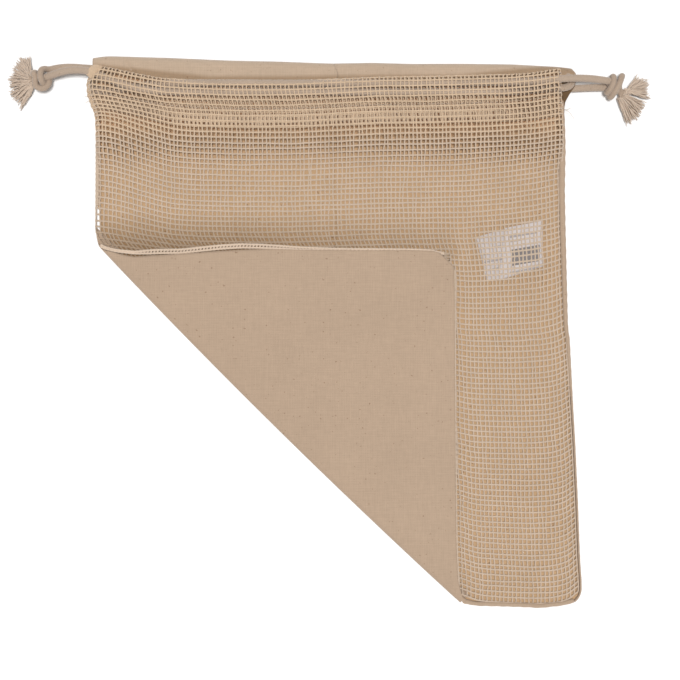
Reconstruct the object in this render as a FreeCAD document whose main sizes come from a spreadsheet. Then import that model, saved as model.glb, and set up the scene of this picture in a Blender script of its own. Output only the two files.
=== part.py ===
"""Mesh produce bag, laid flat on its cotton back, one bottom corner folded up over the net.

X is across the bag, Y towards the mouth, Z up. The origin is on the floor, in the middle of the
bag's own box, without its drawstrings. Sizes are in millimetres.
"""

import FreeCAD, Part
import math
import os
import re

import Sketcher

Vector = FreeCAD.Vector
doc = FreeCAD.newDocument("produce_bag")

# ---------------------------------------------------------------- driving dimensions

SIZES = {
    # the bag's outline, seen from above; it leans to the right towards its bottom
    "left_edge": -152.0,
    "right_edge": 147.2,
    "lean": 10.6,
    "bottom_edge": -175.9,
    "top_edge": 176.0,
    "panel_top": 139.5,
    "net_top": 131.5,
    "net_inset": 3.6,
    # cloth
    "cotton_thick": 0.6,
    "net_thick": 1.0,
    "net_floor": 1.8,
    "seam_wide": 3.5,
    "rise_low": 88.0,
    "rise_high": 127.0,
    "net_high": 11.3,
    # the corner that is folded up: its crease, and the corner's place on the bag
    "crease_left": -147.2,
    "crease_top": 56.1,
    "crease_right": 80.5,
    "crease_low": -168.4,
    "flap_net_floor": 3.1,
    "flap_cotton_floor": 5.3,
    "flap_right": 77.0,
    "flap_top": 52.8,
    "flap_round": 12.0,
    # the two casings along the mouth, each with two cords in it
    "casing_wall": 0.5,
    "back_low": 140.0,
    "back_roof": 6.15,
    "hollow_low": 150.5,
    "hollow_high": 170.3,
    "front_low": 132.0,
    "front_floor": 11.3,
    "front_roof": 17.5,
    "end_floor": 6.5,
    "front_hollow_low": 148.5,
    "middle_left": -95.5,
    "middle_right": 97.5,
    "end_gap": 0.5,
    # care label
    "label_right": 132.7,
    "label_fold": 108.6,
    "label_thick": 0.2,
    "stitch_wide": 1.2,
    # drawstrings
    "cord_wide": 4.5,
    "knot_long": 13.6,
    "knot_wide": 15.8,
    "knot_high": 12.6,
    "tuft_thick": 6.0,
}

sheet = doc.addObject("Spreadsheet::Sheet", "Sizes")
for row, (alias, number) in enumerate(SIZES.items(), start=1):
    sheet.set(f"A{row}", alias)
    sheet.set(f"B{row}", str(number))
    sheet.setAlias(f"B{row}", alias)
doc.recompute()

WORD = re.compile(r"[a-z_]{3,}")
FAR = 400.0
pieces = []


def size(alias):
    """The number in a cell of the sheet."""
    return float(sheet.get(alias))


def bound(text):
    """An expression, with each cell's name made a reference to the sheet."""
    return WORD.sub(lambda word: "Sizes." + word.group(0), str(text))


# ---------------------------------------------------------------- ways of making a piece


def new_body(label):
    body = doc.addObject("PartDesign::Body", label)
    body.Label = label
    pieces.append(body)
    return body


def new_sketch(body, name, role, height="0"):
    """An empty sketch on one of the body's own origin planes, raised by height."""
    plane = next(f for f in body.Origin.OriginFeatures if f.Role == role)
    sketch = body.newObject("Sketcher::SketchObject", name)
    sketch.AttachmentSupport = (plane, "")
    sketch.MapMode = "FlatFace"
    sketch.setExpression("AttachmentOffset.Base.z", bound(height))
    return sketch


def draw_loop(sketch, points):
    """A closed outline of straight lines. Each corner's two distances are bound to the sheet."""
    first = sketch.GeometryCount
    count = len(points)
    ring = [
        Vector(100 * math.cos(2 * math.pi * k / count), 100 * math.sin(2 * math.pi * k / count), 0)
        for k in range(count)
    ]
    for k in range(count):
        sketch.addGeometry(Part.LineSegment(ring[k], ring[(k + 1) % count]), False)
    for k in range(count):
        after = first + (k + 1) % count
        sketch.addConstraint(Sketcher.Constraint("Coincident", first + k, 2, after, 1))
    for k, (across, along) in enumerate(points):
        for kind, value, start in (("DistanceX", across, ring[k].x), ("DistanceY", along, ring[k].y)):
            index = sketch.addConstraint(Sketcher.Constraint(kind, -1, 1, first + k, 1, start))
            sketch.setExpression(f"Constraints[{index}]", bound(value))


def pad(body, sketch, length, midplane=False):
    """Thickens a sketch, upwards or to both sides of it alike."""
    feature = body.newObject("PartDesign::Pad", sketch.Name + "_pad")
    feature.Profile = sketch
    if midplane:
        feature.Midplane = True
    feature.setExpression("Length", bound(length))
    return feature


def pocket(body, sketch, length):
    """Cuts a sketch away to both sides of it alike, and checks that something went."""
    doc.recompute()
    before = body.Shape.Volume
    feature = body.newObject("PartDesign::Pocket", sketch.Name + "_cut")
    feature.Profile = sketch
    feature.Midplane = True
    feature.setExpression("Length", bound(length))
    doc.recompute()
    if body.Shape.Volume > before - 1e-6:
        raise RuntimeError(f"{feature.Name} cuts nothing")
    return feature


def laid_cloth(label, outline, floor, thick):
    """Cloth that lies flat: an outline seen from above, with a floor and a thickness."""
    body = new_body(label)
    sketch = new_sketch(body, label + "_outline", "XY_Plane", floor)
    draw_loop(sketch, outline)
    pad(body, sketch, thick)
    return body


def shaped_cloth(label, profile, outline):
    """Cloth that rises towards the mouth: a side profile (y, z), then cut to an outline (x, y)."""
    body = new_body(label)
    sketch = new_sketch(body, label + "_profile", "YZ_Plane")
    draw_loop(sketch, profile)
    pad(body, sketch, 2 * FAR, midplane=True)
    around = new_sketch(body, label + "_around", "XY_Plane")
    reach = 1.5 * FAR
    draw_loop(around, [(-reach, -reach), (reach, -reach), (reach, reach), (-reach, reach)])
    draw_loop(around, outline)
    pocket(body, around, FAR)
    return body


def casing(label, outline, floor, roof, hollow_low, hollow_high):
    """A sewn tunnel along X: a block with a slot for the cords right through it."""
    body = laid_cloth(label, outline, floor, f"{roof} - {floor}")
    middle = new_sketch(body, label + "_hollow", "XY_Plane", f"({floor} + {roof}) / 2")
    corners = [(-FAR, hollow_low), (FAR, hollow_low), (FAR, hollow_high), (-FAR, hollow_high)]
    draw_loop(middle, corners)
    pocket(body, middle, f"{roof} - {floor} - 2 * casing_wall")
    return body


def tongue(body, corners, floor):
    """Cuts FAR upwards from floor inside the corners, so that one thin layer sticks out."""
    above = new_sketch(body, body.Name + "_tongue", "XY_Plane", f"{floor} + {FAR} / 2")
    draw_loop(above, corners)
    pocket(body, above, FAR)
    return body


def round_corner(body, x, y, radius):
    """Rounds the upright edge nearest to a place."""
    doc.recompute()
    tip = body.Tip
    edges = tip.Shape.Edges

    def distance(index):
        ends = [vertex.Point for vertex in edges[index].Vertexes]
        upright = len(ends) == 2 and math.hypot(ends[0].x - ends[1].x, ends[0].y - ends[1].y) < 1e-6
        return math.hypot(ends[0].x - x, ends[0].y - y) if upright else FAR

    nearest = min(range(len(edges)), key=distance)
    fillet = body.newObject("PartDesign::Fillet", body.Name + "_round")
    fillet.Base = (tip, [f"Edge{nearest + 1}"])
    fillet.setExpression("Radius", bound(radius))
    body.Tip = fillet


# ---------------------------------------------------------------- the bag's body

CREASE_ON_LEFT_EDGE = ("left_edge - 0.6", "crease_top + 5.5")
CREASE_ON_BOTTOM = ("crease_right + 4.7", "bottom_edge + 2.9")

RIGHT_SIDE = [
    ("right_edge + lean", "bottom_edge + 16.5"),
    ("right_edge + 0.77 * lean", "bottom_edge + 70.6"),
    ("right_edge + 0.5 * lean", "bottom_edge + 129.7"),
    ("right_edge + 0.2 * lean", "bottom_edge + 178.7"),
    ("right_edge", "bottom_edge + 266.5"),
]

laid_cloth(
    "back_panel",
    [
        ("left_edge", "panel_top"),
        CREASE_ON_LEFT_EDGE,
        CREASE_ON_BOTTOM,
        ("crease_right + 24.9", "bottom_edge + 1.4"),
        ("crease_right + 49.7", "bottom_edge"),
        ("right_edge + 0.49 * lean", "bottom_edge + 2.8"),
    ]
    + RIGHT_SIDE
    + [("right_edge", "panel_top")],
    "0",
    "cotton_thick",
)

NET_PROFILE = [
    ("bottom_edge", "net_floor"),
    ("rise_low", "net_floor"),
    ("rise_high", "net_high"),
    ("net_top", "net_high"),
    ("net_top", "net_high + net_thick"),
    ("rise_high - 1", "net_high + net_thick"),
    ("rise_low - 1", "net_floor + net_thick"),
    ("bottom_edge", "net_floor + net_thick"),
]

shaped_cloth(
    "front_net_panel",
    NET_PROFILE,
    [
        ("left_edge + 0.6", "net_top"),
        ("left_edge + 0.4", "crease_top + 4.5"),
        ("crease_right + 1.6", "crease_low - 0.9"),
        ("crease_right + 24.9", "bottom_edge + 4.4"),
        ("crease_right + 47.1", "bottom_edge + 2.9"),
        ("right_edge + 0.56 * lean", "bottom_edge + 8.3"),
        ("right_edge + 0.93 * lean", "bottom_edge + 25.9"),
        ("right_edge + 0.74 * lean", "bottom_edge + 70.6"),
        ("right_edge + 0.4 * lean", "bottom_edge + 129.7"),
        ("right_edge - net_inset", "bottom_edge + 178.7"),
        ("right_edge - net_inset", "net_top"),
    ],
)

SEAM_PROFILE = [
    ("bottom_edge", "cotton_thick"),
    ("net_top", "cotton_thick"),
    ("net_top", "net_high"),
    ("rise_high", "net_high"),
    ("rise_low", "net_floor"),
    ("bottom_edge", "net_floor"),
]

shaped_cloth(
    "left_side_seam",
    SEAM_PROFILE,
    [
        ("left_edge + 0.6", "net_top"),
        ("left_edge + 0.6", "crease_top + 6"),
        ("left_edge + 0.6 + seam_wide", "crease_top + 2.5"),
        ("left_edge + 0.6 + seam_wide", "net_top"),
    ],
)

shaped_cloth(
    "right_side_seam",
    SEAM_PROFILE,
    [(x + " - 0.4", y) for x, y in RIGHT_SIDE]
    + [
        ("right_edge - 0.4", "net_top"),
        ("right_edge - 0.4 - seam_wide", "net_top"),
    ]
    + [(x + " - 0.4 - seam_wide", y) for x, y in reversed(RIGHT_SIDE)],
)

laid_cloth(
    "bottom_seam",
    [
        ("crease_right + 6", "bottom_edge + 4"),
        ("crease_right + 24.9", "bottom_edge + 2"),
        ("crease_right + 49.7", "bottom_edge + 0.6"),
        ("right_edge + 0.2 * lean", "bottom_edge + 3"),
        ("right_edge + 0.2 * lean", "bottom_edge + 3 + seam_wide"),
        ("crease_right + 49.7", "bottom_edge + 0.6 + seam_wide"),
        ("crease_right + 24.9", "bottom_edge + 2 + seam_wide"),
        ("crease_right + 3.5", "bottom_edge + 4 + seam_wide"),
    ],
    "cotton_thick",
    "net_floor - cotton_thick",
)

# ---------------------------------------------------------------- the casings along the mouth

casing(
    "back_casing",
    [
        ("middle_left", "back_low"),
        ("middle_right", "back_low"),
        ("middle_right", "top_edge - 5.1"),
        ("0.2 * middle_right", "top_edge - 4.4"),
        ("0.4 * middle_left", "top_edge - 3.3"),
        ("middle_left", "top_edge - 1.4"),
    ],
    "0",
    "back_roof",
    "hollow_low",
    "hollow_high",
)

casing(
    "front_casing",
    [
        ("middle_left", "front_low"),
        ("middle_right", "front_low"),
        ("middle_right", "top_edge - 12.6"),
        ("0.3 * middle_right", "top_edge - 14.9"),
        ("0.4 * middle_left", "top_edge - 15.1"),
        ("middle_left", "top_edge - 14.1"),
    ],
    "front_floor",
    "front_roof",
    "front_hollow_low",
    "top_edge - 15.9",
)

# The far loop of each drawstring turns down from the front casing into the back one at the mouth's
# ends, so there the back casings keep only their lowest layer and the left front one its roof.
back_left = casing(
    "back_casing_left_end",
    [
        ("middle_left - end_gap", "back_low"),
        ("middle_left - end_gap", "top_edge - 1.3"),
        ("left_edge + 9", "top_edge"),
        ("left_edge - 2.1", "top_edge - 1.5"),
        ("left_edge + 0.6", "top_edge - 8"),
        ("left_edge", "back_low"),
    ],
    "0",
    "back_roof",
    "hollow_low",
    "hollow_high + 0.6",
)
tongue(
    back_left,
    [(-FAR, 0), ("left_edge + 2.5", 0), ("left_edge + 2.5", FAR), (-FAR, FAR)],
    "casing_wall",
)

front_left = casing(
    "front_casing_left_end",
    [
        ("middle_left - end_gap", "front_low"),
        ("middle_left - end_gap", "top_edge - 7.2"),
        ("left_edge + 6.3", "top_edge - 6.6"),
        ("left_edge - 0.7", "top_edge - 7.2"),
        ("left_edge - 5.9", "top_edge - 15.6"),
        ("left_edge - 5.9", "top_edge - 23.3"),
        ("left_edge", "front_low"),
    ],
    "end_floor",
    "front_roof",
    "front_hollow_low",
    "top_edge - 7.7",
)
tongue(
    front_left,
    [(-FAR, 0), ("left_edge + 3", 0), ("left_edge + 3", "top_edge - 12.5"), (-FAR, "top_edge - 12.5")],
    f"front_roof - casing_wall - {FAR}",
)

back_right = casing(
    "back_casing_right_end",
    [
        ("middle_right + end_gap", "back_low"),
        ("right_edge", "back_low"),
        ("right_edge", "top_edge - 23.6"),
        ("right_edge + 6.4", "top_edge - 16"),
        ("right_edge + 7.5", "top_edge - 11"),
        ("right_edge + 1.4", "top_edge - 5.6"),
        ("middle_right + end_gap", "top_edge - 4.7"),
    ],
    "0",
    "back_roof",
    "hollow_low",
    "hollow_high - 0.6",
)
tongue(
    back_right,
    [("right_edge - 0.7", 0), (FAR, 0), (FAR, FAR), ("right_edge - 0.7", FAR)],
    "casing_wall",
)

casing(
    "front_casing_right_end",
    [
        ("middle_right + end_gap", "front_low"),
        ("right_edge - 1", "front_low"),
        ("right_edge - 2.5", "top_edge - 10.4"),
        ("right_edge - 17.6", "top_edge - 10.9"),
        ("middle_right + end_gap", "top_edge - 10.9"),
    ],
    "end_floor",
    "front_roof",
    "front_hollow_low",
    "top_edge - 11.4",
)


def stitching(label, across, floor):
    """A row of lock-stitch thread lying on a casing, from middle_left to middle_right."""
    inset = 2
    return laid_cloth(
        label,
        [
            (f"middle_left + {inset}", across),
            (f"middle_right - {inset}", across),
            (f"middle_right - {inset}", f"{across} + stitch_wide"),
            (f"middle_left + {inset}", f"{across} + stitch_wide"),
        ],
        floor,
        "casing_wall",
    )


stitching("back_casing_stitching", "hollow_low - 4", "back_roof")
stitching("front_casing_stitching", "front_hollow_low - 3.5", "front_roof")

# ---------------------------------------------------------------- the care label inside

laid_cloth(
    "label_back_leaf",
    [
        ("label_fold - 18.1", "60.7"),
        ("label_fold - 11.2", "33.3"),
        ("label_fold - 3.8", "33.3"),
        ("label_fold + 2.2", "36"),
        ("label_fold + 1", "66.6"),
    ],
    "cotton_thick + 0.3",
    "label_thick",
)

laid_cloth(
    "label_front_leaf",
    [
        ("label_fold", "66.4"),
        ("label_fold + 1.9", "35.2"),
        ("label_fold + 9.5", "37.5"),
        ("label_right", "42.2"),
        ("label_right", "71.2"),
    ],
    "cotton_thick + 0.65",
    "label_thick",
)

laid_cloth(
    "label_stitching",
    [
        ("label_right - 0.4 - stitch_wide", "43"),
        ("label_right - 0.4", "43"),
        ("label_right - 0.4", "70.5"),
        ("label_right - 0.4 - stitch_wide", "70.5"),
    ],
    "cotton_thick",
    "0.65",
)

# ---------------------------------------------------------------- the corner that is folded up

flap_outline = [
    ("crease_left + 4.4", "flap_top - 0.9"),
    ("crease_left + 19.8", "flap_top - 4.5"),
    ("crease_left + 49.1", "flap_top - 2.6"),
    ("crease_left + 92.9", "flap_top + 0.2"),
    ("flap_right", "flap_top - 0.6"),
    ("flap_right + 0.7", "crease_low + 56.1"),
    ("flap_right + 2.2", "crease_low + 4.6"),
    ("flap_right + 2.2", "crease_low + 1.6"),
]
flap_cotton = laid_cloth("flap_back_panel", flap_outline, "flap_cotton_floor", "cotton_thick")
round_corner(flap_cotton, size("flap_right"), size("flap_top") - 0.6, "flap_round")

flap_net_outline = [
    ("crease_left + 6.4", "flap_top - 2.2"),
    ("crease_left + 19.8", "flap_top - 5.3"),
    ("crease_left + 49.1", "flap_top - 3.4"),
    ("crease_left + 92.9", "flap_top - 0.6"),
    ("flap_right - 0.8", "flap_top - 1.4"),
    ("flap_right - 0.1", "crease_low + 56.1"),
    ("flap_right + 1", "crease_low + 3.1"),
]
flap_net = laid_cloth("flap_front_net", flap_net_outline, "flap_net_floor", "net_thick")
round_corner(flap_net, size("flap_right") - 0.8, size("flap_top") - 1.4, "flap_round - 0.8")

FLAP_SEAM_FLOOR = "flap_net_floor + net_thick"
FLAP_SEAM_THICK = "flap_cotton_floor - flap_net_floor - net_thick"

laid_cloth(
    "flap_side_seam",
    [
        ("crease_left + 8", "flap_top + 1"),
        ("crease_left + 20.4", "flap_top - 0.1"),
        ("crease_left + 49.1", "flap_top + 0.8"),
        ("crease_left + 74.5", "flap_top + 3.4"),
        ("crease_left + 92.9", "flap_top + 4.3"),
        ("crease_left + 125.4", "flap_top + 2.3"),
        ("flap_right - flap_round", "flap_top - 0.4"),
        ("flap_right - flap_round", "flap_top - 1.3 - seam_wide"),
        ("crease_left + 92.9", "flap_top - 0.6 - seam_wide"),
        ("crease_left + 49.1", "flap_top - 3.4 - seam_wide"),
        ("crease_left + 23.8", "flap_top - 5 - seam_wide"),
        ("crease_left + 10", "flap_top - 2.6"),
    ],
    FLAP_SEAM_FLOOR,
    FLAP_SEAM_THICK,
)

laid_cloth(
    "flap_bottom_seam",
    [
        ("flap_right - 0.8", "flap_top - flap_round - 1.4"),
        ("flap_right - 0.2", "crease_low + 56.1"),
        ("flap_right + 0.6", "crease_low + 10"),
        ("flap_right + 0.6 - seam_wide", "crease_low + 14"),
        ("flap_right - 0.2 - seam_wide", "crease_low + 56.1"),
        ("flap_right - 0.8 - seam_wide", "flap_top - flap_round - 1.4"),
    ],
    FLAP_SEAM_FLOOR,
    FLAP_SEAM_THICK,
)

# ---------------------------------------------------------------- the drawstrings

# Each drawstring goes from its knot into the front casing, along it, round the far end of the mouth
# and back through the back casing to the same knot. The left one passes over the right one's loop.
LEFT_ROUTE = [
    (-184.0, 161.2, 8.2),
    (-178.0, 163.3, 9.8),
    (-167.0, 165.8, 13.0),
    (-154.0, 165.0, 14.4),
    (-136.0, 157.0, 14.4),
    (-118.0, 151.8, 14.4),
    (-82.0, 151.3, 14.4),
    (-28.0, 151.7, 14.4),
    (30.0, 151.3, 14.4),
    (76.0, 151.6, 14.4),
    (104.0, 151.7, 14.4),
    (117.0, 152.3, 10.2),
    (127.0, 153.4, 9.6),
    (138.0, 154.6, 9.6),
    (148.3, 154.8, 9.6),
    (151.6, 159.8, 6.5),
    (148.3, 164.4, 3.1),
    (139.0, 164.8, 3.1),
    (122.0, 165.9, 3.1),
    (85.0, 165.8, 3.1),
    (27.0, 166.5, 3.1),
    (-33.0, 165.8, 3.1),
    (-92.0, 166.4, 3.1),
    (-134.0, 167.0, 3.1),
    (-156.0, 168.2, 3.1),
    (-168.0, 169.2, 3.2),
    (-178.0, 168.2, 4.0),
    (-183.0, 166.4, 4.4),
]
RIGHT_ROUTE = [
    (176.0, 158.8, 9.0),
    (170.0, 159.6, 10.6),
    (160.0, 160.3, 13.4),
    (146.0, 160.2, 14.4),
    (124.0, 157.9, 14.4),
    (84.0, 157.1, 14.4),
    (30.0, 157.0, 14.4),
    (-28.0, 156.9, 14.4),
    (-76.0, 157.1, 14.4),
    (-102.0, 157.0, 14.4),
    (-114.0, 157.0, 10.2),
    (-124.0, 156.2, 9.5),
    (-134.0, 153.8, 9.5),
    (-143.0, 153.3, 9.5),
    (-151.9, 153.3, 9.5),
    (-154.9, 157.3, 6.3),
    (-151.9, 161.3, 3.1),
    (-141.0, 160.8, 3.1),
    (-122.0, 157.2, 3.1),
    (-84.0, 156.1, 3.1),
    (-28.0, 156.8, 3.1),
    (30.0, 156.0, 3.1),
    (88.0, 156.5, 3.1),
    (128.0, 155.6, 3.1),
    (148.0, 155.2, 3.1),
    (160.0, 155.8, 3.1),
    (169.0, 156.0, 3.8),
    (175.0, 155.9, 4.6),
]
LARGEST_SHARE = 0.45


def cord_path(points):
    """Straight runs joined by tangent arcs, each as large as its two runs allow, and the radii."""
    corners = [Vector(*point) for point in points]
    edges, radii = [], []
    start = corners[0]
    for before, corner, after in zip(corners, corners[1:], corners[2:]):
        back, ahead = before - corner, after - corner
        shorter = min(back.Length, ahead.Length)
        half_turn = (math.pi - back.getAngle(ahead)) / 2
        radius = LARGEST_SHARE * shorter / math.tan(half_turn)
        radii.append(radius)
        back.normalize()
        ahead.normalize()
        first = corner + back * LARGEST_SHARE * shorter
        last = corner + ahead * LARGEST_SHARE * shorter
        inward = back + ahead
        inward.normalize()
        middle = corner + inward * (radius / math.cos(half_turn) - radius)
        edges.append(Part.LineSegment(start, first).toShape())
        edges.append(Part.Arc(first, middle, last).toShape())
        start = last
    edges.append(Part.LineSegment(start, corners[-1]).toShape())
    return Part.Wire(edges), radii


def drawstring(label, route):
    """A round cord swept along its route, checked against its section times its length."""
    path, radii = cord_path(route)
    radius = size("cord_wide") / 2
    first_run = Vector(*route[1]) - Vector(*route[0])
    ring = Part.Wire([Part.makeCircle(radius, Vector(*route[0]), first_run)])
    solid = path.makePipeShell([ring], True, False, 2)
    expected = math.pi * radius**2 * path.Length
    off = abs(solid.Volume / expected - 1)
    print(f"{label}: {path.Length:.1f} mm long, tightest radii "
          f"{[round(r, 1) for r in sorted(radii)[:5]]}, volume off by {100 * off:.2f}%")
    if off > 0.02:
        raise RuntimeError(f"{label}'s sweep has the wrong volume")
    feature = doc.addObject("Part::Feature", label)
    feature.Label = label
    feature.Shape = solid
    pieces.append(feature)
    return feature


def knot(label, place, turn):
    """An overhand knot as a plain barrel: a turned profile, flattened on its top and underside."""
    body = new_body(label)
    sketch = new_sketch(body, label + "_profile", "XY_Plane")
    draw_loop(
        sketch,
        [
            ("-knot_long / 2", "0"),
            ("knot_long / 2", "0"),
            ("knot_long / 2", "0.32 * knot_wide"),
            ("knot_long / 4", "knot_wide / 2"),
            ("-knot_long / 4", "knot_wide / 2"),
            ("-knot_long / 2", "0.32 * knot_wide"),
        ],
    )
    turned = body.newObject("PartDesign::Revolution", label + "_turned")
    turned.Profile = sketch
    turned.ReferenceAxis = (sketch, ["H_Axis"])
    turned.Angle = 360
    for side in (1, -1):
        slab = new_sketch(body, f"{label}_flat_{side + 1}", "XY_Plane", f"{side} * knot_high")
        draw_loop(slab, [(-FAR, -FAR), (FAR, -FAR), (FAR, FAR), (-FAR, FAR)])
        pocket(body, slab, "knot_high")
    body.Placement = FreeCAD.Placement(Vector(*place), FreeCAD.Rotation(Vector(0, 0, 1), turn))
    return body


def tuft(label, outline):
    """Frayed cord ends, fanned out on the floor: a plain flat wedge."""
    return laid_cloth(label, outline, "0.2", "tuft_thick")


drawstring("left_drawstring", LEFT_ROUTE)
knot("left_knot", (-185.8, 160.3, 6.4), 0)
tuft(
    "left_tassel",
    [
        (-191.8, 164.0),
        (-194.6, 176.8),
        (-200.2, 175.6),
        (-206.4, 169.4),
        (-208.2, 160.5),
        (-206.2, 151.0),
        (-200.6, 144.8),
        (-191.8, 156.0),
    ],
)

drawstring("right_drawstring", RIGHT_ROUTE)
knot("right_knot", (178.1, 156.6, 6.4), 0)
tuft(
    "right_tassel_upper",
    [(184.3, 161.0), (184.3, 154.0), (201.2, 148.4), (202.0, 156.0), (200.0, 161.4), (193.1, 163.6)],
)
tuft(
    "right_tassel_lower",
    [(184.3, 153.4), (179.5, 148.2), (184.6, 136.0), (187.0, 131.2), (194.4, 136.2), (197.6, 145.4)],
)

# ---------------------------------------------------------------- checks and files

doc.recompute()

for item in doc.Objects:
    if "Invalid" in item.State or "Error" in item.State:
        raise RuntimeError(f"{item.Label} failed: {item.State}")
for piece in pieces:
    if piece.Shape.isNull() or not piece.Shape.isValid() or len(piece.Shape.Solids) != 1:
        raise RuntimeError(f"{piece.Label} isn't one sound solid")

os.makedirs("parts", exist_ok=True)
for piece in pieces:
    piece.Shape.exportStep(f"parts/{piece.Label}.step")

whole = FreeCAD.BoundBox()
for piece in pieces:
    if not re.search("drawstring|knot|tassel", piece.Label):
        whole.add(piece.Shape.BoundBox)
print(f"{len(pieces)} pieces; without the drawstrings {whole}")
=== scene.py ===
"""Looks of the mesh produce bag: cotton back, open net front, two knotted drawstrings."""

import math

import bpy
import numpy as np
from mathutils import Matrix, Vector


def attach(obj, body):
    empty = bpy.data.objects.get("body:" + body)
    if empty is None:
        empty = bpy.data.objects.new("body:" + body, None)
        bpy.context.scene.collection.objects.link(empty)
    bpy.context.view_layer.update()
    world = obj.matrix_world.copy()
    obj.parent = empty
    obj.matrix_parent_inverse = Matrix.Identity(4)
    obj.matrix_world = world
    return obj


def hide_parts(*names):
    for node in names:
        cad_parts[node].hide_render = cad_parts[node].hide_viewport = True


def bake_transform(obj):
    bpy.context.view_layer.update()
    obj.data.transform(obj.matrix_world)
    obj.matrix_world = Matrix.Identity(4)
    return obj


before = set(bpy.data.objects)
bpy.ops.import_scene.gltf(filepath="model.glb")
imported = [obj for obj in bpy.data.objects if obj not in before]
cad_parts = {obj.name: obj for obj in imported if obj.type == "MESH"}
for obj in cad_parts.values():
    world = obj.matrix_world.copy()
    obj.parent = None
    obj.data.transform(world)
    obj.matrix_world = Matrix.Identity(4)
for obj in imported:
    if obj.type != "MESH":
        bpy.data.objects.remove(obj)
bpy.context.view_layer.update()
MM = 0.001
rng = np.random.default_rng(7)


# ---------------------------------------------------------------- camera, floor and light
def aim(obj, target):
    """Turns a camera or light so that it looks at target."""
    obj.rotation_euler = (Vector(target) - obj.location).to_track_quat("-Z", "Y").to_euler()


def make_camera():
    """The camera looks straight down on the bag."""
    data = bpy.data.cameras.new("camera")
    data.lens, data.sensor_width = 85, 36
    obj = bpy.data.objects.new("camera", data)
    obj.location = (0.0036, -0.0048, 1.026)
    bpy.context.collection.objects.link(obj)
    bpy.context.scene.camera = obj


def sun(name, towards, strength, spread):
    """Even, soft light that comes from the direction towards, like a large distant softbox."""
    data = bpy.data.lights.new(name, "SUN")
    data.energy, data.angle = strength, math.radians(spread)
    obj = bpy.data.objects.new(name, data)
    obj.location = Vector(towards).normalized() * 2
    aim(obj, (0, 0, 0))
    bpy.context.collection.objects.link(obj)


def make_world(strength):
    world = bpy.data.worlds.new("studio")
    world.use_nodes = True
    world.node_tree.nodes["Background"].inputs["Color"].default_value = (1, 1, 1, 1)
    world.node_tree.nodes["Background"].inputs["Strength"].default_value = strength
    bpy.context.scene.world = world


def make_floor():
    bpy.ops.mesh.primitive_plane_add(size=6, location=(0, 0, -0.0004))
    floor = bpy.context.object
    floor.name = "floor"
    material = bpy.data.materials.new("pale_floor")
    material.use_nodes = True
    shader = material.node_tree.nodes["Principled BSDF"]
    shader.inputs["Base Color"].default_value = (0.93, 0.93, 0.93, 1)
    shader.inputs["Roughness"].default_value = 0.95
    floor.data.materials.append(material)


make_camera()
make_floor()
make_world(0.27)
sun("top_light", (0.03, -0.02, 1), 2.7, 12)
sun("front_light", (-0.25, -1, 0.33), 0.6, 16)
sun("back_light", (0.3, 1, 0.8), 0.4, 25)
bpy.context.scene.view_settings.view_transform = "Standard"


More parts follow.
